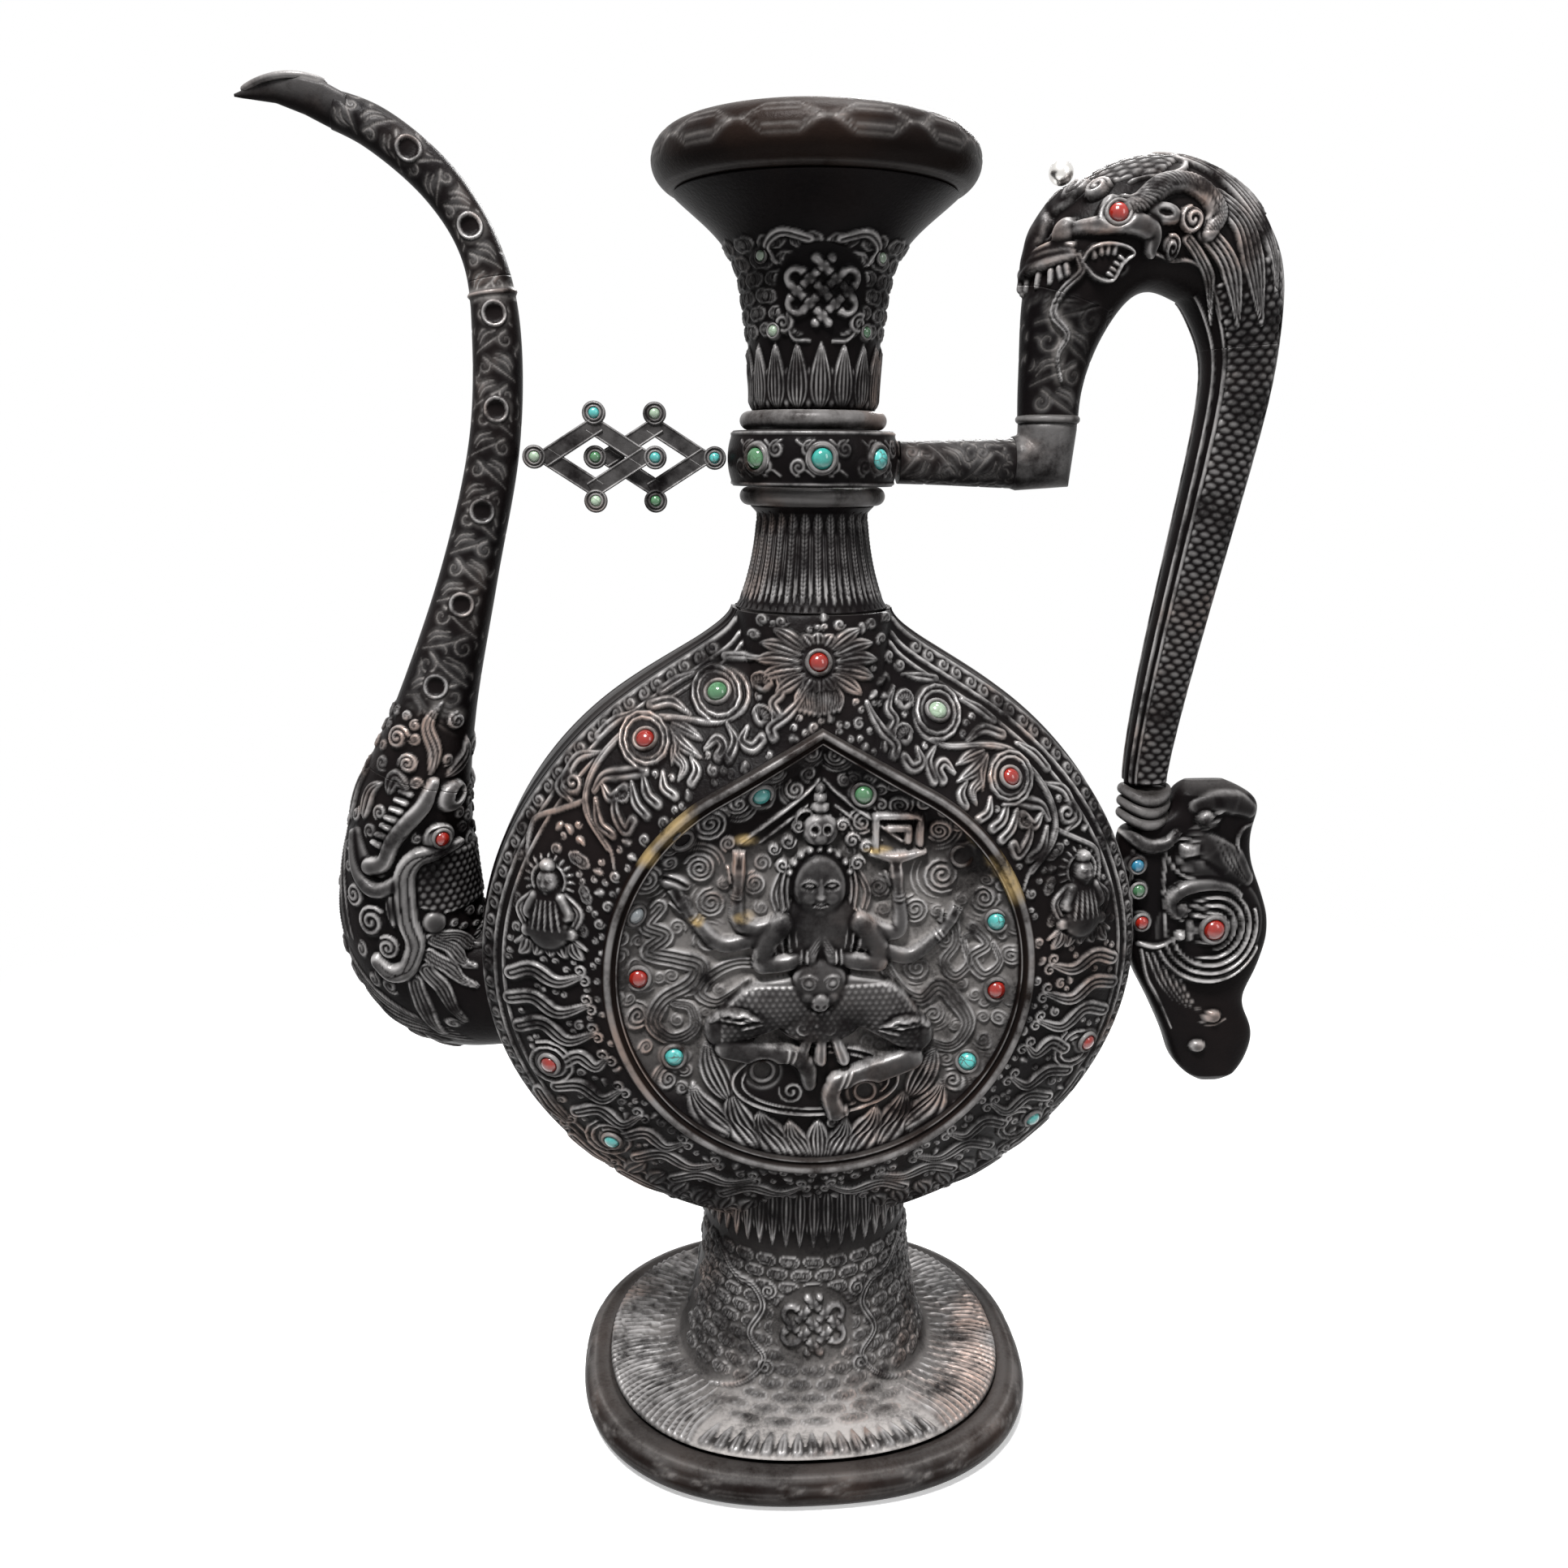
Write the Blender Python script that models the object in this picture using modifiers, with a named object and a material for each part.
# Bronze ritual jug: a flattened flask on an oval foot, with a collared neck, an animal-head spout tied
# to the neck by an openwork bridge, and a dragon handle. Lengths are millimetres; meshes are metres.
# X runs from spout (-) to handle (+), the decorated front faces -Y, and the foot stands on Z = 0.
import math

import bmesh
import bpy
from mathutils import Matrix, Vector

MM = 0.001
GAP = 0.3
WALL = 1.6
ROUND_STEPS = 22

# Foot
FOOT_HALF_WIDTH = 93.0
FOOT_DEPTH_SHARE = 0.92
FOOT_SQUARENESS = 2.4
FOOT_BEAD_WIDTH = 16.0
FOOT_BEAD_HEIGHT = 14.0
FOOT_LAP = 5.0
STEM_RADIUS = 41.0
STEM_WAIST_HEIGHT = 62.0
STEM_OVERRUN = 40.0
FLARE_RISE = 6.0

# Body
BODY_BOTTOM = 84.0
BODY_HALF_WIDTH = 124.4
BODY_WIDEST = 200.0
SHOULDER_HALF_WIDTH = 72.0
SHOULDER_HEIGHT = 296.0
BODY_TOP = 328.0
BAND_HALF_DEPTH = 20.0
BAND_BULGE = 1.5
BAND_CLOSING_HEIGHT = 60.0
BAND_CLOSING_POWER = 0.7
BODY_HALF_DEPTH = 50.0
MEDALLION_HEIGHT = 200.0
MEDALLION_RADIUS = 76.0
MEDALLION_PEAK = 87.0
PEAK_SETBACK = 6.0
MEDALLION_RECESS = 5.0
PLAQUE_FLOOR = 0.88
PLAQUE_RINGS = 9
FRAME_WIRE = 3.0
BORDER_SHARES = (0.0, 0.15, 0.3, 0.45, 0.6, 0.75, 0.88, 1.0)
BORDER_FULLNESS = (0.15, 0.5)

# Main forms of the relief on each half of a panel and of a plaque, as rounded bars. Each holds the distance
# from the middle and the height of both ends, then the half width and the rise
BORDER_FORMS = (
    (97, 238, 97, 216, 12, 3.2),
    (80, 244, 108, 250, 6, 2.2),
    (112, 192, 86, 196, 8, 2.6),
    (110, 172, 82, 178, 8, 2.6),
    (98, 150, 72, 154, 8, 2.6),
    (80, 128, 54, 134, 8, 2.6),
    (52, 112, 24, 116, 8, 2.6),
    (10, 312, 24, 313, 7, 2.2),
)
FIGURE_FORMS = (
    (0, 237, 0, 230, 13, 7.5),
    (0, 253, 0, 262, 8, 4.0),
    (0, 218, 0, 190, 15, 6.0),
    (0, 197, 0, 194, 12, 9.0),
    (10, 190, 34, 177, 12, 8.0),
    (34, 167, 5, 160, 8, 7.0),
    (14, 218, 20, 205, 9, 6.0),
    (18, 210, 45, 217, 7, 4.0),
    (16, 218, 29, 240, 7, 4.0),
    (0, 156, 20, 156, 13, 3.0),
    (6, 133, 32, 143, 10, 2.8),
)

# Neck and mouth
NECK_FOOT_RADIUS = 28.4
NECK_WAIST_RADIUS = 19.8
NECK_LOW_HEIGHT = 37.0
COLLAR_RING_RADIUS = 26.8
COLLAR_RING_HEIGHT = 6.6
BELT_RADIUS = 31.2
BELT_HEIGHT = 19.4
BELT_BULGE = 2.0
NECK_UP_RADIUS = 22.3
NECK_UP_HEIGHT = 72.0
FLARE_RADIUS = 50.0
MOUTH_RADIUS = 57.5
MOUTH_BEAD_WIDTH = 23.0
MOUTH_BEAD_HEIGHT = 21.0

# Spout
PORT_HEIGHT = 182.0
PORT_RADIUS = 25.5
BULB_RADIUS = 27.2
SPOUT_WAIST_REACH = 112.6
SPOUT_WAIST_HEIGHT = 424.0
SPOUT_WAIST_RADIUS = 9.1
BEAK_REACH = 190.0
BEAK_HEIGHT = 499.3
LIP_WIRE = 1.7
LIP_HALF_DEPTH = 5.6
LIP_SINK = 1.5

# Bridge
BRIDGE_BAR = 4.9
BRIDGE_EYE = 4.4
BRIDGE_PLATE = 2.2
LOZENGE_HALF_HEIGHT = 15.4

# Handle
ARM_RADIUS = 8.0
ELBOW_REACH = 87.0
ELBOW_RADIUS = 10.5
TRUNK_RING_WIRE = 1.8
TRUNK_HEIGHT = 38.0
HEAD_RADIUS = 23.5
GRIP_OFFSET = 33.0
GRIP_RADIUS = 13.0
GRIP_DEPTH_SHARE = 0.85
GRIP_FOOT_RADIUS = 8.5
CUFF_OFFSET = 9.6
CUFF_RADIUS = 10.8
CUFF_HEIGHT = 15.0
CUFF_BEADS = 3
SCROLL_TOP = 243.0
BLOCK_RISE = 16.4
SCROLL_HALF_DEPTH = 8.0
SPIRAL_RADIUS = 24.0
SPIRAL_THICKNESS = 4.0
DROP_RADIUS = 15.0
LUG_RADIUS = 6.0
LUG_LENGTH = 4.5
BEAD_RADIUS = 4.6
END_STRAIGHT = 1.2
ELBOW_BEND = 8.0
SOCKET_WALL = 1.0

# Counts of steps along the routes of spout and handle, from their starts
SPAN_STEPS = 3
BULB_END_STEPS = 13
TUBE_END_STEPS = 26
TRUNK_END_STEPS = 9
EYE_STEPS = 13
BROW_STEPS = 14
HEAD_END_STEPS = 24

# Stones
BRIDGE_STONE = 2.7
COLLAR_STONE = 3.6
BODY_STONE = 4.0
EYE_STONE = 3.6
SPIRAL_STONE = 4.5
STONE_DOME = 0.7
STONE_STEPS = 8

BRONZE = (0.045, 0.033, 0.026)
DARK_BRONZE = (0.03, 0.024, 0.021)
RUBBED_BRONZE = (0.10, 0.06, 0.035)
SILVER = (0.60, 0.60, 0.58)
CORAL = (0.45, 0.05, 0.03)
TURQUOISE = (0.10, 0.38, 0.36)
GREEN_GLASS = (0.10, 0.33, 0.15)
PALE_STONE = (0.55, 0.56, 0.45)

for old in list(bpy.data.objects):
    bpy.data.objects.remove(old, do_unlink=True)

parts = bpy.data.collections.new("ritual_jug")
cutters = bpy.data.collections.new("ritual_jug_cutters")
for group in (parts, cutters):
    bpy.context.scene.collection.children.link(group)


# Levels of the stacked neck, each piece standing GAP above the one below. The mouth's bead dips by its own
# roundness into the open edge of the flare
neck_low_base = BODY_TOP + GAP
neck_low_top = BODY_TOP + NECK_LOW_HEIGHT
low_ring_base = neck_low_top + GAP
belt_base = low_ring_base + COLLAR_RING_HEIGHT + GAP
belt_top = belt_base + BELT_HEIGHT
collar_mid = belt_base + BELT_HEIGHT / 2
up_ring_base = belt_top + GAP
neck_up_base = up_ring_base + COLLAR_RING_HEIGHT + GAP
neck_up_top = neck_up_base + NECK_UP_HEIGHT
mouth_base = neck_up_top


def metal_or_stone(name, color, metallic, roughness):
    made = bpy.data.materials.new(name)
    made.use_nodes = True
    shader = made.node_tree.nodes["Principled BSDF"]
    shader.inputs["Base Color"].default_value = (*color, 1.0)
    shader.inputs["Metallic"].default_value = metallic
    shader.inputs["Roughness"].default_value = roughness
    made.diffuse_color = (*color, 1.0)
    return made


def place(obj, color, metallic=1.0, roughness=0.38, smooth_angle=40.0):
    """Puts a finished piece in the parts collection with its own material."""
    parts.objects.link(obj)
    obj.data.materials.append(metal_or_stone(obj.name, color, metallic, roughness))
    if obj.type == "MESH":
        obj.data.shade_smooth()
        obj.data.set_sharp_from_angle(angle=math.radians(smooth_angle))
    return obj


def mesh_object(name, points, faces):
    mesh = bpy.data.meshes.new(name)
    mesh.from_pydata([Vector(point) * MM for point in points], [], faces)
    return bpy.data.objects.new(name, mesh)


def turned(name, profile, steps=ROUND_STEPS):
    """Screw solid from a closed profile of (radius, height), outer side first, top to bottom."""
    mesh = bpy.data.meshes.new(name)
    loop = list(zip(range(len(profile)), list(range(1, len(profile))) + [0]))
    edges = [pair for pair in loop if profile[pair[0]][0] or profile[pair[1]][0]]
    mesh.from_pydata([(r * MM, 0, z * MM) for r, z in profile], edges, [])
    obj = bpy.data.objects.new(name, mesh)
    screw = obj.modifiers.new("turn", "SCREW")
    screw.steps = screw.render_steps = steps
    screw.use_merge_vertices = True
    screw.merge_threshold = 1e-6
    return obj


def walled(outer, wall):
    """Closed profile of a turned wall: the outer side downwards, then back up inside it."""
    return outer + [(r - wall, z) for r, z in reversed(outer)]


def rolled_bead(radius, width, base, height, start, end, count=7):
    """Profile of sheet rolled into a bead, open between the two angles so that it holds no sealed space."""
    mid = (radius - width / 2, base + height / 2)
    outer, inner = [], []
    for i in range(count + 1):
        angle = math.radians(start + (end - start) * i / count)
        for ring, inset in ((outer, 0.0), (inner, WALL)):
            along = (width / 2 - inset) * math.cos(angle)
            up = (height / 2 - inset) * math.sin(angle)
            ring.append((mid[0] + along, mid[1] + up))
    return outer + inner[::-1]


def evaluated_mesh(obj):
    """Turns a bevelled curve into a plain closed mesh object of the same name."""
    bpy.context.scene.collection.objects.link(obj)
    graph = bpy.context.evaluated_depsgraph_get()
    mesh = bpy.data.meshes.new_from_object(obj.evaluated_get(graph))
    name = obj.name
    bpy.data.objects.remove(obj, do_unlink=True)
    work = bmesh.new()
    work.from_mesh(mesh)
    bmesh.ops.remove_doubles(work, verts=work.verts, dist=1e-6)
    bmesh.ops.recalc_face_normals(work, faces=work.faces)
    work.to_mesh(mesh)
    work.free()
    mesh.name = name
    return bpy.data.objects.new(name, mesh)


def tube(name, stations, cyclic=False, sides=10):
    """Round bar through stations of (x, y, z, radius)."""
    curve = bpy.data.curves.new(name, "CURVE")
    curve.dimensions = "3D"
    curve.bevel_depth = MM
    curve.bevel_resolution = (sides - 4) // 2
    curve.use_fill_caps = not cyclic
    spline = curve.splines.new("POLY")
    spline.points.add(len(stations) - 1)
    for point, (x, y, z, radius) in zip(spline.points, stations):
        point.co = (x * MM, y * MM, z * MM, 1.0)
        point.radius = radius
    spline.use_cyclic_u = cyclic
    return evaluated_mesh(bpy.data.objects.new(name, curve))


def plate(name, loops, half_thickness, middle):
    """Flat piece in the XZ plane from closed outlines of (x, z), the first one outermost."""
    curve = bpy.data.curves.new(name, "CURVE")
    curve.dimensions = "2D"
    curve.fill_mode = "BOTH"
    curve.extrude = half_thickness * MM
    for loop in loops:
        spline = curve.splines.new("POLY")
        spline.points.add(len(loop) - 1)
        for point, (x, z) in zip(spline.points, loop):
            point.co = (x * MM, z * MM, 0.0, 1.0)
        spline.use_cyclic_u = True
    obj = evaluated_mesh(bpy.data.objects.new(name, curve))
    obj.data.transform(Matrix.Translation((0, middle * MM, 0)) @ Matrix.Rotation(math.pi / 2, 4, "X"))
    return obj


def cut(obj, cutter, name):
    """Takes the cutter's space, clearance included, out of a piece."""
    if cutter.name not in cutters.objects:
        cutters.objects.link(cutter)
        cutter.hide_render = True
        cutter.display_type = "WIRE"
    modifier = obj.modifiers.new(name, "BOOLEAN")
    modifier.operation = "DIFFERENCE"
    modifier.solver = "EXACT"
    modifier.use_self = True
    modifier.object = cutter
    return obj


def bezier(start, lead, trail, end, count):
    """Points of one cubic arc, its first point left out."""
    found = []
    for i in range(1, count + 1):
        t = i / count
        u = 1 - t
        weights = (u ** 3, 3 * t * u * u, 3 * t * t * u, t ** 3)
        corners = (start, lead, trail, end)
        found.append(tuple(sum(w * p[k] for w, p in zip(weights, corners)) for k in (0, 1)))
    return found


def spline_through(knots, per_span):
    """Smooth route through knots of any size, with per_span points to each stretch."""
    padded = [knots[0]] + list(knots) + [knots[-1]]
    found = [tuple(knots[0])]

    def between(a, b, c, d, t):
        square = 2 * a - 5 * b + 4 * c - d
        cube = 3 * b - a - 3 * c + d
        return b + ((c - a) * t + square * t * t + cube * t ** 3) / 2

    for i in range(len(knots) - 1):
        around = padded[i:i + 4]
        for step in range(1, per_span + 1):
            found.append(tuple(between(*values, step / per_span) for values in zip(*around)))
    return found


def side_outline():
    """Right half of the body's front outline, bottom centre to neck corner."""
    bottom = (0.0, BODY_BOTTOM)
    widest = (BODY_HALF_WIDTH, BODY_WIDEST)
    shoulder = (SHOULDER_HALF_WIDTH, SHOULDER_HEIGHT)
    corner = (NECK_FOOT_RADIUS, BODY_TOP)
    drop = BODY_WIDEST - BODY_BOTTOM
    climb = SHOULDER_HEIGHT - BODY_WIDEST
    slope = Vector((corner[0] - shoulder[0], corner[1] - shoulder[1])) * 0.45
    belly_lead = (0.5 * BODY_HALF_WIDTH, BODY_BOTTOM + 0.5)
    belly_trail = (BODY_HALF_WIDTH + 0.3, BODY_WIDEST - 0.56 * drop)
    side_lead = (BODY_HALF_WIDTH, BODY_WIDEST + 0.42 * climb)
    side_trail = (shoulder[0] - 1.6 * slope[0], shoulder[1] - 1.6 * slope[1])
    neck_lead = (shoulder[0] + slope[0], shoulder[1] + slope[1])
    neck_trail = (corner[0] + 1, corner[1] - 0.25 * (corner[1] - shoulder[1]))
    points = [bottom]
    points += bezier(bottom, belly_lead, belly_trail, widest, 13)
    points += bezier(widest, side_lead, side_trail, shoulder, 8)
    points += bezier(shoulder, neck_lead, neck_trail, corner, 3)
    return points


def band_half(height):
    """Half the depth of the side band: full round the flask, closing to nothing at the neck corners."""
    closing = (BODY_TOP - height) / BAND_CLOSING_HEIGHT
    return BAND_HALF_DEPTH * min(1.0, max(0.0, closing)) ** BAND_CLOSING_POWER


def medallion_edge(angle):
    """Radius of the medallion at an angle from straight up: a circle with a gable drawn to its peak."""
    tangent = math.acos(MEDALLION_RADIUS / MEDALLION_PEAK)
    lean = abs((angle + math.pi) % (2 * math.pi) - math.pi)
    return MEDALLION_RADIUS / math.cos(max(0.0, tangent - lean))


def body_columns(widen=0.0):
    """Per outline point, clockwise from the top: reach, edge depth, angle, ring radius, ring depth."""
    right = side_outline()[::-1]
    neck = []
    for i in range(3):
        x = NECK_FOOT_RADIUS * math.sin(math.radians(30 * i))
        neck.append((x, BODY_TOP, math.sqrt(NECK_FOOT_RADIUS ** 2 - x ** 2)))
    half = neck + [(x, z, band_half(z)) for x, z in right]
    loop = half + [(-x, z, depth) for x, z, depth in half[-2:0:-1]]
    columns = []
    for x, z, depth in loop:
        angle = math.atan2(x, z - MEDALLION_HEIGHT)
        reach = math.hypot(x, z - MEDALLION_HEIGHT) + widen
        ring = medallion_edge(angle)
        setback = PEAK_SETBACK * (ring - MEDALLION_RADIUS) / (MEDALLION_PEAK - MEDALLION_RADIUS)
        columns.append((reach, depth + widen, angle, ring, BODY_HALF_DEPTH - setback + widen))
    return columns


def relief(forms, x, z):
    """Rise of the highest of some rounded bars over a point of the front view, the same on both halves."""
    rise = 0.0
    for start_x, start_z, end_x, end_z, half_width, height in forms:
        run = Vector((end_x - start_x, end_z - start_z))
        away = Vector((abs(x) - start_x, z - start_z))
        along = min(1.0, max(0.0, away.dot(run) / max(run.length_squared, GAP)))
        off = (away - run * along).length / half_width
        rise = max(rise, height * (1 - off * off))
    return rise


def border_point(column, share, side, edge_lap=0.0):
    """Point on a panel's border: share 0 is the medallion's edge, 1 the outline; side -1 is the front."""
    reach, depth, angle, ring, ring_depth = column
    depth += edge_lap
    fullness = BORDER_FULLNESS[0] + BORDER_FULLNESS[1] * math.sin(angle) ** 2
    fall = (1 - fullness) * (1 - share) + fullness * math.sqrt(max(0.0, 1 - share * share))
    radius = ring + (reach - ring) * share
    y = side * (depth + (ring_depth - depth) * fall)
    return (radius * math.sin(angle), y, MEDALLION_HEIGHT + radius * math.cos(angle))


def grid_faces(rows, columns, closed, outward):
    faces = []
    for row in range(rows - 1):
        for column in range(columns if closed else columns - 1):
            after = (column + 1) % columns
            face = (row * columns + column, row * columns + after,
                    (row + 1) * columns + after, (row + 1) * columns + column)
            faces.append(face if outward else face[::-1])
    return faces


def sheet(obj, thickness=WALL):
    """Gives an open surface its thickness inwards."""
    wall = obj.modifiers.new("wall", "SOLIDIFY")
    wall.thickness = thickness * MM
    wall.offset = -1.0
    return obj


def body_panel(name, side):
    """Front or back of the flask: the convex border round the medallion's opening."""
    columns = body_columns()
    lap = WALL + 2 * GAP
    points = []
    for share in BORDER_SHARES:
        for column in columns:
            x, y, z = border_point(column, share, side, lap)
            inside = 0.0 < share < 1.0
            points.append((x, y + side * relief(BORDER_FORMS, x, z) if inside else y, z))
    obj = mesh_object(name, points, grid_faces(len(BORDER_SHARES), len(columns), True, side < 0))
    return place(sheet(obj), BRONZE)


def medallion_depth(share, ring_depth):
    """Depth of the plaque, sunk below the medallion's edge and drawn back only towards the peak."""
    ring_depth = BODY_HALF_DEPTH + (ring_depth - BODY_HALF_DEPTH) * share ** 4
    rise = min(1.0, max(0.0, (share - PLAQUE_FLOOR) / (1 - PLAQUE_FLOOR)))
    return ring_depth - MEDALLION_RECESS * (1 - rise * rise * (3 - 2 * rise))


def medallion_plaque(name, side):
    """Dished plaque let into the panel's opening."""
    columns = body_columns()
    shares = [PLAQUE_FLOOR * (i + 1) / PLAQUE_RINGS for i in range(PLAQUE_RINGS)]
    shares += [(PLAQUE_FLOOR + 1) / 2, 1.0]
    middle = medallion_depth(0, BODY_HALF_DEPTH) + relief(FIGURE_FORMS, 0, MEDALLION_HEIGHT)
    points = [(0, side * middle, MEDALLION_HEIGHT)]
    for share in shares:
        for _, _, angle, ring, ring_depth in columns:
            radius = (ring - WALL - GAP) * share
            x, z = radius * math.sin(angle), MEDALLION_HEIGHT + radius * math.cos(angle)
            y = side * (medallion_depth(share, ring_depth) + relief(FIGURE_FORMS, x, z))
            points.append((x, y, z))
    count = len(columns)
    ring_faces = grid_faces(len(shares), count, True, side < 0)
    faces = [tuple(i + 1 for i in face) for face in ring_faces]
    for i in range(count):
        fan = (0, 1 + (i + 1) % count, 1 + i)
        faces.append(fan if side < 0 else fan[::-1])
    return place(sheet(mesh_object(name, points, faces)), DARK_BRONZE)


def medallion_frame(name, side):
    """Round moulding over the seam between plaque and panel."""
    stations = []
    for _, _, angle, ring, ring_depth in body_columns():
        y = side * (ring_depth + FRAME_WIRE + GAP)
        stations.append((ring * math.sin(angle), y, MEDALLION_HEIGHT + ring * math.cos(angle), FRAME_WIRE))
    return place(tube(name, stations, cyclic=True, sides=6), RUBBED_BRONZE)


def body_band(port):
    """Hoop that joins the two panels, from one neck corner to the other, bored for the spout."""
    right = side_outline()
    right[-1] = (right[-1][0], right[-1][1] - WALL)
    route = right[:0:-1] + [(-x, z) for x, z in right]
    rows = (-1.0, -0.5, 0.0, 0.5, 1.0)
    points = []
    for row in rows:
        for i, (x, z) in enumerate(route):
            before = Vector(route[max(i - 1, 0)])
            along = Vector(route[min(i + 1, len(route) - 1)]) - before
            out = Vector((-along.y, along.x)).normalized() * BAND_BULGE * (1 - row * row)
            points.append((x - out.x, row * max(band_half(z) - GAP, GAP), z - out.y))
    obj = sheet(mesh_object("body_side_band", points, grid_faces(len(rows), len(route), False, True)))
    return place(cut(obj, port, "spout port"), BRONZE)


def foot_turned(name, profile):
    """Turned piece of the foot, drawn out in plan towards a rounded square away from the stem."""
    obj = evaluated_mesh(turned(name, profile))
    for vertex in obj.data.vertices:
        x, y = vertex.co.x / MM, vertex.co.y / MM
        reach = math.hypot(x, y)
        share = max(0.0, (reach - STEM_RADIUS) / (FOOT_HALF_WIDTH - STEM_RADIUS))
        if share:
            edge = (abs(x) ** FOOT_SQUARENESS + abs(y) ** FOOT_SQUARENESS) ** (1 / FOOT_SQUARENESS)
            stretch = 1 + share * (reach / edge - 1)
            vertex.co.x *= stretch
            vertex.co.y *= stretch
    obj.scale.y = FOOT_DEPTH_SHARE
    return obj


def body_envelope():
    """Whole outside of the flask with clearance, for trimming what meets it."""
    columns = body_columns(widen=2 * GAP)
    count = len(columns)
    shares = BORDER_SHARES
    points = [border_point(column, share, -1, WALL) for share in shares for column in columns]
    for reach, _, angle, _, _ in columns:
        radius = reach + BAND_BULGE
        points.append((radius * math.sin(angle), 0.0, MEDALLION_HEIGHT + radius * math.cos(angle)))
    points += [border_point(column, share, 1, WALL) for share in shares[::-1] for column in columns]
    rows = 2 * len(shares) + 1
    faces = grid_faces(rows, count, True, True)
    faces.append(tuple(range(count))[::-1])
    faces.append(tuple(range((rows - 1) * count, rows * count)))
    return mesh_object("body_envelope", points, faces)


def foot_pieces(envelope):
    bead_inner = FOOT_HALF_WIDTH - FOOT_BEAD_WIDTH
    lap = bead_inner + FOOT_LAP
    bead_mid = FOOT_HALF_WIDTH - FOOT_BEAD_WIDTH / 2
    bead_arc = math.sqrt(1 - ((lap - bead_mid) / (FOOT_BEAD_WIDTH / 2)) ** 2)
    base = FOOT_BEAD_HEIGHT / 2 * (1 + bead_arc) + GAP
    bead = rolled_bead(FOOT_HALF_WIDTH, FOOT_BEAD_WIDTH, 0.0, FOOT_BEAD_HEIGHT, 200, -90)
    place(foot_turned("foot_rim", bead), RUBBED_BRONZE)
    plate_edge = bead_mid - GAP
    disc = [(plate_edge, WALL), (plate_edge, 0.0), (0.0, 0.0), (0.0, WALL)]
    place(foot_turned("foot_base_plate", disc), DARK_BRONZE)
    shelf = base + FLARE_RISE
    waist = (STEM_RADIUS + 1.8, STEM_WAIST_HEIGHT)
    spread = (STEM_RADIUS + 12, shelf)
    edge = (lap, base + WALL)
    flare = [(STEM_RADIUS - 2, BODY_BOTTOM + STEM_OVERRUN), (STEM_RADIUS, BODY_BOTTOM + 6), waist]
    below_waist = (STEM_RADIUS + 4, STEM_WAIST_HEIGHT - 18)
    flare += bezier(waist, below_waist, (STEM_RADIUS + 8, shelf + 4), spread, 3)
    flare += bezier(spread, (STEM_RADIUS + 18, shelf - 3), (lap - 10, edge[1] + 1), edge, 2)
    outer = flare + [(lap, base)]
    inner = [(r - WALL, z - WALL * 0.6) for r, z in flare[-2:2:-1]]
    inner += [(r - WALL, z) for r, z in flare[2::-1]]
    inner = [(lap - WALL, base)] + [(r, max(z, base)) for r, z in inner]
    stem = foot_turned("foot_stem", outer + inner)
    place(cut(stem, envelope, "body seat"), BRONZE)


def neck_pieces():
    foot = (NECK_FOOT_RADIUS, neck_low_base)
    waist = (NECK_WAIST_RADIUS, neck_low_top - 5)
    low = [(COLLAR_RING_RADIUS - 4, neck_low_top), (NECK_WAIST_RADIUS + 0.6, neck_low_top - 2.5), waist]
    below_waist = (NECK_WAIST_RADIUS + 0.5, neck_low_top - 16)
    above_foot = (NECK_FOOT_RADIUS - 5, neck_low_base + 7)
    low += bezier(waist, below_waist, above_foot, foot, 4)
    place(turned("neck_lower", walled(low, WALL)), BRONZE)
    bore = NECK_WAIST_RADIUS - WALL
    half = COLLAR_RING_HEIGHT / 2
    for name, base in (("collar_lower_ring", low_ring_base), ("collar_upper_ring", up_ring_base)):
        ring = []
        for degrees in range(90, -91, -45):
            angle = math.radians(degrees)
            out = COLLAR_RING_RADIUS + half * (math.cos(angle) - 1)
            ring.append((out, base + half + half * math.sin(angle)))
        ring += [(bore, base), (bore, base + COLLAR_RING_HEIGHT)]
        place(turned(name, ring), RUBBED_BRONZE)
    place(turned("collar_belt", belt_profile(0.0)), DARK_BRONZE)
    base = (NECK_UP_RADIUS, neck_up_base)
    throat = (NECK_UP_RADIUS + 4, neck_up_base + 0.56 * NECK_UP_HEIGHT)
    edge = (FLARE_RADIUS, neck_up_top)
    rise = bezier(base, (NECK_UP_RADIUS, neck_up_base + 15), (throat[0] - 2, throat[1] - 14), throat, 2)
    rise += bezier(throat, (throat[0] + 2, throat[1] + 16), (FLARE_RADIUS - 10, neck_up_top - 9), edge, 5)
    outer = ([base] + rise)[::-1]
    inner = [(r - WALL, z) for r, z in outer[:3:-1]] + [(r - WALL * 1.3, z) for r, z in outer[3::-1]]
    place(turned("neck_upper", outer + inner), BRONZE)
    bead = rolled_bead(MOUTH_RADIUS, MOUTH_BEAD_WIDTH, mouth_base, MOUTH_BEAD_HEIGHT, 200, -90)
    place(turned("mouth_rim", bead), RUBBED_BRONZE)


def belt_profile(widen):
    """Bulging belt of the collar; widen adds clearance on its outside."""
    bore = NECK_WAIST_RADIUS - WALL
    steps = 4
    outer = []
    for i in range(steps + 1):
        share = 1 - 2 * i / steps
        radius = BELT_RADIUS - BELT_BULGE * share * share + widen
        outer.append((radius, collar_mid + share * (BELT_HEIGHT / 2 + widen)))
    return outer + [(bore, belt_base - widen), (bore, belt_top + widen)]


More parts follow.
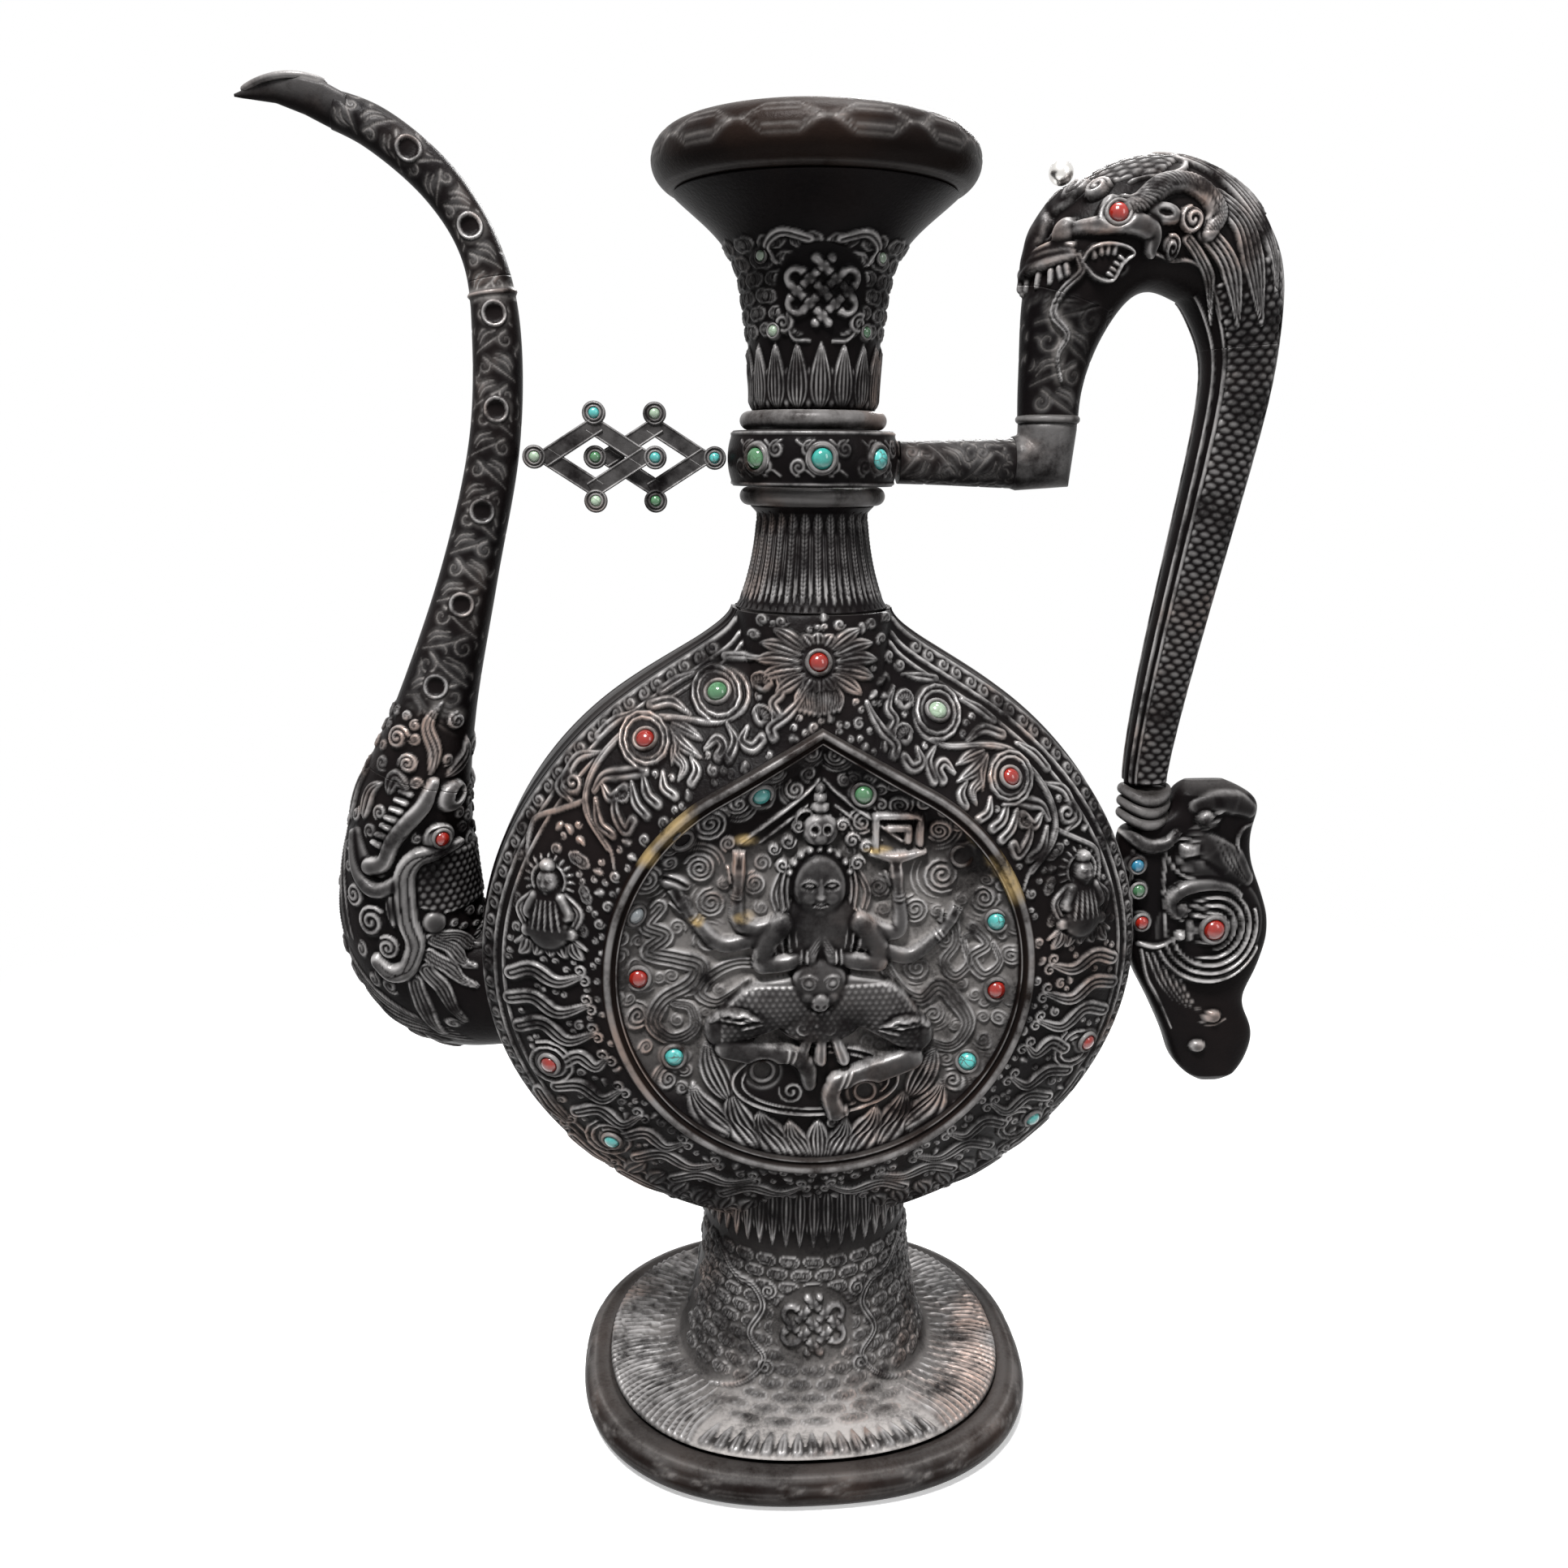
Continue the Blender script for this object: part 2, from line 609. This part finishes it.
def spout_route():
    """Stations of the spout from inside the body to the tip of the beak: x, z and radius."""
    port_x = BODY_HALF_WIDTH
    bulb_x = port_x + BULB_RADIUS + 1.6
    rise = SPOUT_WAIST_HEIGHT - PORT_HEIGHT
    run = bulb_x - SPOUT_WAIST_REACH
    top = BEAK_HEIGHT - SPOUT_WAIST_HEIGHT
    reach = BEAK_REACH - SPOUT_WAIST_REACH
    knots = [
        (port_x - 10, PORT_HEIGHT, PORT_RADIUS),
        (port_x + 12, PORT_HEIGHT + 2, PORT_RADIUS + 0.6),
        (bulb_x - 4.5, PORT_HEIGHT + 16, BULB_RADIUS - 0.4),
        (bulb_x, PORT_HEIGHT + 0.15 * rise, BULB_RADIUS),
        (bulb_x - 0.06 * run, PORT_HEIGHT + 0.29 * rise, 22.4),
        (bulb_x - 0.32 * run, PORT_HEIGHT + 0.45 * rise, 15.4),
        (bulb_x - 0.67 * run, PORT_HEIGHT + 0.65 * rise, 11.1),
        (bulb_x - 0.94 * run, PORT_HEIGHT + 0.84 * rise, SPOUT_WAIST_RADIUS + 0.6),
        (SPOUT_WAIST_REACH, SPOUT_WAIST_HEIGHT, SPOUT_WAIST_RADIUS),
        (SPOUT_WAIST_REACH + 0.05 * reach, SPOUT_WAIST_HEIGHT + 0.35 * top, SPOUT_WAIST_RADIUS - 1.3),
        (SPOUT_WAIST_REACH + 0.21 * reach, SPOUT_WAIST_HEIGHT + 0.64 * top, SPOUT_WAIST_RADIUS - 1.2),
        (SPOUT_WAIST_REACH + 0.48 * reach, SPOUT_WAIST_HEIGHT + 0.875 * top, SPOUT_WAIST_RADIUS - 1.4),
        (SPOUT_WAIST_REACH + 0.76 * reach, SPOUT_WAIST_HEIGHT + 0.985 * top, 6.2),
        (BEAK_REACH, BEAK_HEIGHT, 2.6),
    ]
    return [(-x, 0.0, z, radius) for x, z, radius in spline_through(knots, SPAN_STEPS)]


def hollow_tube(name, stations, flatten):
    """Tube with a bore right through, pressed flat in depth by flatten(height)."""
    outer = tube(name, stations)
    first, second = Vector(stations[0][:3]), Vector(stations[1][:3])
    last, before = Vector(stations[-1][:3]), Vector(stations[-2][:3])
    lead = first + (first - second).normalized() * 4
    trail = last + (last - before).normalized() * 4
    bored = [(*lead, stations[0][3])] + list(stations) + [(*trail, stations[-1][3])]
    inner = tube(name + "_bore", [(x, y, z, max(radius - WALL, 0.9)) for x, y, z, radius in bored], sides=8)
    for obj in (outer, inner):
        for vertex in obj.data.vertices:
            vertex.co.y *= flatten(vertex.co.z / MM)
    return cut(outer, inner, "bore")


def trimmed(stations, start, end):
    """Stretch of a route whose ends stop half a gap short, each square to the route's direction there."""
    kept = list(stations[start + 1:end])
    for index, inward in ((start, 1), (end, -1)):
        at = Vector(stations[index][:3])
        ahead = Vector(stations[min(index + 1, len(stations) - 1)][:3])
        along = (ahead - Vector(stations[max(index - 1, 0)][:3])).normalized() * inward
        radius = stations[index][3]
        ends = [(*(at + along * GAP / 2), radius), (*(at + along * (GAP / 2 + END_STRAIGHT)), radius)]
        kept = ends + kept if inward > 0 else kept + ends[::-1]
    return kept


def spout_pieces(route, envelope):
    band_share = (BAND_HALF_DEPTH - 1) / PORT_RADIUS
    bulb_top = route[BULB_END_STEPS][2]

    def flatten(height):
        share = min(1.0, max(0.0, (height - PORT_HEIGHT) / (bulb_top - PORT_HEIGHT)))
        return band_share + (1 - band_share) * share

    def rounded(_):
        return 1.0

    bulb = hollow_tube("spout_bulb", trimmed(route, 0, BULB_END_STEPS), flatten)
    place(cut(bulb, envelope, "body seat"), BRONZE)
    lower = trimmed(route, BULB_END_STEPS, TUBE_END_STEPS)
    place(hollow_tube("spout_tube", lower, rounded), BRONZE)
    beak = hollow_tube("spout_beak", trimmed(route, TUBE_END_STEPS, len(route) - 1), rounded)
    mouth_plane = BEAK_HEIGHT + LIP_SINK
    heel, tip = route[-6], route[-1]
    slot = mesh_object("beak_slot", *box_corners(
        (tip[0] - 12, -12, mouth_plane), (heel[0] + 2, 12, mouth_plane + 30)))
    place(cut(beak, slot, "open mouth"), BRONZE)
    lip_mid = (tip[0] + heel[0]) / 2 - 1.5
    lip_half = (heel[0] - tip[0]) / 2 - 1
    height = mouth_plane + GAP + LIP_WIRE
    lip = [(lip_mid + lip_half * math.cos(a), LIP_HALF_DEPTH * math.sin(a), height, LIP_WIRE)
           for a in (2 * math.pi * i / 16 for i in range(16))]
    place(tube("spout_lip", lip, cyclic=True, sides=6), RUBBED_BRONZE)


def box_corners(low, high):
    points = [(x, y, z) for x in (low[0], high[0]) for y in (low[1], high[1]) for z in (low[2], high[2])]
    faces = [(0, 1, 3, 2), (4, 6, 7, 5), (0, 4, 5, 1), (2, 3, 7, 6), (0, 2, 6, 4), (1, 5, 7, 3)]
    return points, faces


def lozenge_loops(centre, half_length):
    """Outer and inner outline of a lozenge frame with a round eye on each corner."""
    mid_x, mid_z = centre
    corners = [Vector((mid_x - half_length, mid_z)), Vector((mid_x, mid_z + LOZENGE_HALF_HEIGHT)),
               Vector((mid_x + half_length, mid_z)), Vector((mid_x, mid_z - LOZENGE_HALF_HEIGHT))]
    spread = math.asin(BRIDGE_BAR / 2 / BRIDGE_EYE)
    outer, inner = [], []
    for i, corner in enumerate(corners):
        back = corners[i - 1] - corner
        ahead = corners[(i + 1) % 4] - corner
        back_angle = math.atan2(back.y, back.x)
        ahead_angle = math.atan2(ahead.y, ahead.x)
        inside = (ahead_angle - back_angle) % (2 * math.pi)
        arcs = ((outer, -spread, -(2 * math.pi - inside - spread), 7), (inner, spread, inside - spread, 2))
        for loop, begin, finish, count in arcs:
            for step in range(count + 1):
                angle = back_angle + begin + (finish - begin) * step / count
                point = corner + Vector((math.cos(angle), math.sin(angle))) * BRIDGE_EYE
                loop.append((point.x, point.y))
    return [outer, inner], corners


def bridge_pieces(route):
    """Two lozenges between spout and collar, one in front of the other, with a stone on every eye."""

    def off_waist(station):
        return abs(station[2] - collar_mid) + abs(station[0] + SPOUT_WAIST_REACH)

    beside = min(route, key=off_waist)
    left = beside[0] + beside[3] + GAP + BRIDGE_EYE
    right = -(BELT_RADIUS + GAP + BRIDGE_EYE)
    half_length = (right - left) / 3
    colors = ((PALE_STONE, TURQUOISE, TURQUOISE, PALE_STONE),
              (GREEN_GLASS, PALE_STONE, TURQUOISE, GREEN_GLASS))
    for index, side in enumerate((-1, 1)):
        centre = (left + half_length * (1 + index), collar_mid)
        loops, corners = lozenge_loops(centre, half_length)
        middle = side * (BRIDGE_PLATE + GAP) / 2
        name = ("bridge_spout_lozenge", "bridge_collar_lozenge")[index]
        place(plate(name, loops, BRIDGE_PLATE / 2, middle), BRONZE)
        front = middle - BRIDGE_PLATE / 2 - GAP
        for corner, color, spot in zip(corners, colors[index], ("left", "top", "right", "bottom")):
            stone(f"{name[:-8]}_stone_{spot}", (corner.x, front, corner.y), (0, -1, 0), BRIDGE_STONE, color)


def stone(name, seat, outward, radius, color):
    """Domed stone with a flat back on its seat."""
    dome = [(radius * math.sin(math.radians(30 * i)), STONE_DOME * radius * math.cos(math.radians(30 * i)))
            for i in range(4)]
    obj = turned(name, dome + [(0.0, 0.0)], steps=STONE_STEPS)
    obj.rotation_mode = "QUATERNION"
    obj.rotation_quaternion = Vector((0, 0, 1)).rotation_difference(Vector(outward))
    obj.location = Vector(seat) * MM
    place(obj, color, metallic=0.0, roughness=0.25)


def collar_stones():
    for side, facing in (("front", -90), ("back", 90)):
        for place_name, turn in (("left", -45), ("middle", 0), ("right", 45)):
            angle = math.radians(facing + (turn if side == "front" else -turn))
            outward = (math.cos(angle), math.sin(angle), 0)
            radius = BELT_RADIUS + GAP
            color = TURQUOISE if place_name != "left" else GREEN_GLASS
            seat = (radius * outward[0], radius * outward[1], collar_mid)
            stone(f"collar_stone_{side}_{place_name}", seat, outward, COLLAR_STONE, color)


def front_stones():
    """Stones on the shoulders of the front panel, and two pairs at the sides of the medallion."""
    columns = body_columns()
    border = (("top", 0, 0.7, CORAL), ("green_left", -19, 0.52, GREEN_GLASS),
              ("pale_right", 19, 0.52, PALE_STONE), ("red_left", -37, 0.42, CORAL),
              ("red_right", 37, 0.42, CORAL))
    for label, degrees, share, color in border:
        column = min(columns, key=lambda found: abs(found[2] - math.radians(degrees)))
        here = Vector(border_point(column, share, -1, WALL + GAP))
        beyond = Vector(border_point(column, share + 0.05, -1, WALL + GAP)) - here
        across = Vector((math.cos(column[2]), 0, -math.sin(column[2])))
        outward = beyond.cross(across).normalized()
        if outward.y > 0:
            outward.negate()
        stone(f"shoulder_stone_{label}", here + outward * (GAP + 0.4), outward, BODY_STONE, color)
    inside = (("upper", 72, PALE_STONE, TURQUOISE), ("lower", 93, CORAL, CORAL))
    for label, degrees, left, right in inside:
        for hand, sign, color in (("left", -1, left), ("right", 1, right)):
            angle = math.radians(degrees)
            radius = (MEDALLION_RADIUS - WALL - GAP) * PLAQUE_FLOOR - BODY_STONE - GAP
            depth = -medallion_depth(0.5, BODY_HALF_DEPTH) - GAP
            seat = (sign * radius * math.sin(angle), depth, MEDALLION_HEIGHT + radius * math.cos(angle))
            stone(f"medallion_stone_{label}_{hand}", seat, (0, -1, 0), BODY_STONE, color)


def handle_route():
    """Stations of the handle: trunk, head arch and grip, then the height where the grip enters its cuff."""
    trunk_base = collar_mid + ELBOW_RADIUS + 2 * TRUNK_RING_WIRE + 3
    trunk_top = trunk_base + TRUNK_HEIGHT
    grip_x = BODY_HALF_WIDTH + GRIP_OFFSET
    cuff_x = BODY_HALF_WIDTH + CUFF_OFFSET
    arch = (ELBOW_REACH + grip_x) / 2
    cuff_top = SCROLL_TOP + GAP + CUFF_HEIGHT
    fall = trunk_top - 14 - cuff_top
    knots = [
        (ELBOW_REACH, trunk_base, ELBOW_RADIUS + 1.2),
        (ELBOW_REACH, trunk_base + 0.2 * TRUNK_HEIGHT, 12.2),
        (ELBOW_REACH + 1.5, trunk_base + 0.55 * TRUNK_HEIGHT, 14.0),
        (ELBOW_REACH + 5, trunk_top, 18.0),
        (ELBOW_REACH + 14, trunk_top + 20, HEAD_RADIUS - 1),
        (arch, trunk_top + 31, HEAD_RADIUS),
        (grip_x - 10, trunk_top + 19, HEAD_RADIUS - 1.5),
        (grip_x - 3, trunk_top + 2, 19.0),
        (grip_x + 0.5, trunk_top - 14, GRIP_RADIUS + 2),
        (grip_x, trunk_top - 14 - 0.13 * fall, GRIP_RADIUS + 0.3),
        (grip_x - 0.38 * (grip_x - cuff_x), trunk_top - 14 - 0.42 * fall, GRIP_RADIUS - 1),
        (cuff_x + 0.2 * (grip_x - cuff_x), trunk_top - 14 - 0.74 * fall, GRIP_RADIUS - 2.4),
        (cuff_x, cuff_top + GRIP_FOOT_RADIUS, GRIP_FOOT_RADIUS + 0.5),
        (cuff_x, cuff_top, GRIP_FOOT_RADIUS),
    ]
    route = spline_through(knots[:-1], SPAN_STEPS) + [knots[-1]]
    return [(x, 0.0, z, radius) for x, z, radius in route]


def handle_pieces(envelope):
    collar_space = turned("collar_space", belt_profile(GAP))
    socket_end = ELBOW_REACH - ELBOW_RADIUS - 2
    arm_ends = (BELT_RADIUS - 6, socket_end - GAP)
    arm = tube("handle_arm", [(x, 0, collar_mid, ARM_RADIUS) for x in arm_ends])
    place(cut(arm, collar_space, "collar seat"), BRONZE)
    socket_radius = ARM_RADIUS + SOCKET_WALL
    elbow = [(socket_end, 0, collar_mid, socket_radius)]
    bend_steps = 6
    for i in range(bend_steps + 1):
        angle = math.pi / 2 * i / bend_steps
        x = ELBOW_REACH - ELBOW_BEND * (1 - math.sin(angle))
        z = collar_mid + ELBOW_BEND * (1 - math.cos(angle))
        elbow.append((x, 0, z, socket_radius + (ELBOW_RADIUS - socket_radius) * i / bend_steps))
    elbow_top = collar_mid + ELBOW_RADIUS + 2
    elbow.append((ELBOW_REACH, 0, elbow_top, ELBOW_RADIUS))
    place(tube("handle_elbow", elbow), BRONZE)
    ring_height = elbow_top + GAP + TRUNK_RING_WIRE
    ring_radius = ELBOW_RADIUS - 0.5
    ring = []
    for i in range(ROUND_STEPS):
        angle = 2 * math.pi * i / ROUND_STEPS
        x = ELBOW_REACH + ring_radius * math.cos(angle)
        ring.append((x, ring_radius * math.sin(angle), ring_height, TRUNK_RING_WIRE))
    place(tube("handle_ring", ring, cyclic=True, sides=6), RUBBED_BRONZE)
    route = handle_route()
    route[0] = (route[0][0], 0.0, ring_height + TRUNK_RING_WIRE + GAP / 2, route[0][3])
    stretches = (("handle_trunk", 0, TRUNK_END_STEPS),
                 ("handle_head", TRUNK_END_STEPS, HEAD_END_STEPS),
                 ("handle_grip", HEAD_END_STEPS, len(route) - 1))
    for name, start, end in stretches:
        piece = tube(name, trimmed(route, start, end))
        for vertex in piece.data.vertices:
            vertex.co.y *= GRIP_DEPTH_SHARE
        place(piece, BRONZE)
    brow = route[BROW_STEPS]
    bead_off = math.sqrt(0.5) * (brow[3] + BEAD_RADIUS + GAP)
    bead_at = Vector((brow[0] - bead_off, 0, brow[2] + bead_off))
    work = bmesh.new()
    bmesh.ops.create_uvsphere(work, u_segments=10, v_segments=6, radius=BEAD_RADIUS * MM)
    bmesh.ops.translate(work, vec=bead_at * MM, verts=work.verts)
    mesh = bpy.data.meshes.new("forehead_bead")
    work.to_mesh(mesh)
    work.free()
    place(bpy.data.objects.new("forehead_bead", mesh), SILVER, roughness=0.2)
    eye = route[EYE_STEPS]
    for hand, side in (("front", -1), ("back", 1)):
        seat = (eye[0] - 4, side * (eye[3] * GRIP_DEPTH_SHARE + 0.2), eye[2] + 2)
        stone(f"dragon_eye_{hand}", seat, (0, side, 0), EYE_STONE, CORAL)
    handle_foot(route[-1], envelope)


def handle_foot(grip_end, envelope):
    """Cuff of rolled beads, the scroll below it with a spiral on each face, and the lug on the body."""
    cuff_base = SCROLL_TOP + GAP
    bead = (CUFF_HEIGHT - GAP) / CUFF_BEADS
    profile = []
    for index in range(CUFF_BEADS):
        middle = cuff_base + CUFF_HEIGHT - GAP - (index + 0.5) * bead
        for step in range(1 if index else 0, 4):
            angle = math.radians(90 - 60 * step)
            out = CUFF_RADIUS - bead / 2 + bead / 2 * math.cos(angle)
            profile.append((out, middle + bead / 2 * math.sin(angle)))
    cuff = turned("handle_cuff", profile + [(0.0, cuff_base), (0.0, cuff_base + CUFF_HEIGHT - GAP)])
    cuff.location.x = grip_end[0] * MM
    place(cuff, RUBBED_BRONZE)
    inner_x = BODY_HALF_WIDTH + LUG_LENGTH + BAND_BULGE
    left = BODY_HALF_WIDTH - 2.4
    spiral_at = (inner_x + SPIRAL_RADIUS + 8, SCROLL_TOP - 43)
    right = spiral_at[0] + SPIRAL_RADIUS + 4
    drop_at = (inner_x + 41, SCROLL_TOP - 97)
    block_left = grip_end[0] + CUFF_RADIUS + GAP
    block_top = SCROLL_TOP + BLOCK_RISE
    outline = [(left, SCROLL_TOP), (block_left, SCROLL_TOP), (block_left, block_top - 1)]
    outline += [(block_left + 17, block_top), (right - 16.2, block_top - 2), (right - 9.5, SCROLL_TOP + 7)]
    outline += [(right - 12, SCROLL_TOP - 5), (right - 11.4, SCROLL_TOP - 17)]
    arcs = ((spiral_at, SPIRAL_RADIUS + 3, 55, 15), (drop_at, DROP_RADIUS, 40, 27))
    for (x, z), radius, start, turn in arcs:
        for step in range(9):
            angle = math.radians(start - turn * step)
            outline.append((x + radius * math.cos(angle), z + radius * math.sin(angle)))
    outline += [(inner_x + 16, SCROLL_TOP - 84), (inner_x + 6.5, SCROLL_TOP - 70)]
    outline += [(inner_x, SCROLL_TOP - 46), (inner_x - 1.6, SCROLL_TOP - 25), (left, SCROLL_TOP - 6)]
    scroll = plate("handle_scroll", [outline], SCROLL_HALF_DEPTH, 0.0)
    place(cut(scroll, envelope, "body clearance"), BRONZE)
    base = SCROLL_HALF_DEPTH + GAP
    face = base + SPIRAL_THICKNESS
    bore = SPIRAL_STONE + GAP
    disc = [(bore, face), (SPIRAL_RADIUS - 3, face), (SPIRAL_RADIUS, face - 2)]
    disc += [(SPIRAL_RADIUS, base), (bore, base)]
    centre = Matrix.Translation((spiral_at[0] * MM, 0, spiral_at[1] * MM))
    for hand, side in (("front", -1), ("back", 1)):
        spiral = turned(f"handle_spiral_{hand}", disc)
        spiral.matrix_world = centre @ Matrix.Rotation(side * -math.pi / 2, 4, "X")
        place(spiral, RUBBED_BRONZE)
    seat = (spiral_at[0], -SCROLL_HALF_DEPTH - GAP, spiral_at[1])
    stone("spiral_stone_front", seat, (0, -1, 0), SPIRAL_STONE, CORAL)
    lug_height = SCROLL_TOP - 48
    lug_ends = (BODY_HALF_WIDTH - 6, inner_x - GAP)
    lug = tube("handle_lug", [(x, 0, lug_height, LUG_RADIUS) for x in lug_ends])
    place(cut(lug, envelope, "body seat"), DARK_BRONZE)


envelope = body_envelope()
route = spout_route()
port_ends = (-BODY_HALF_WIDTH - 12, -BODY_HALF_WIDTH + 14)
port = tube("spout_port", [(x, 0, PORT_HEIGHT, PORT_RADIUS - WALL - 6) for x in port_ends])
foot_pieces(envelope)
for label, side in (("front", -1), ("back", 1)):
    body_panel(f"body_{label}_panel", side)
    medallion_plaque(f"medallion_{label}_plaque", side)
    medallion_frame(f"medallion_{label}_frame", side)
body_band(port)
neck_pieces()
collar_stones()
front_stones()
spout_pieces(route, envelope)
bridge_pieces(route)
handle_pieces(envelope)
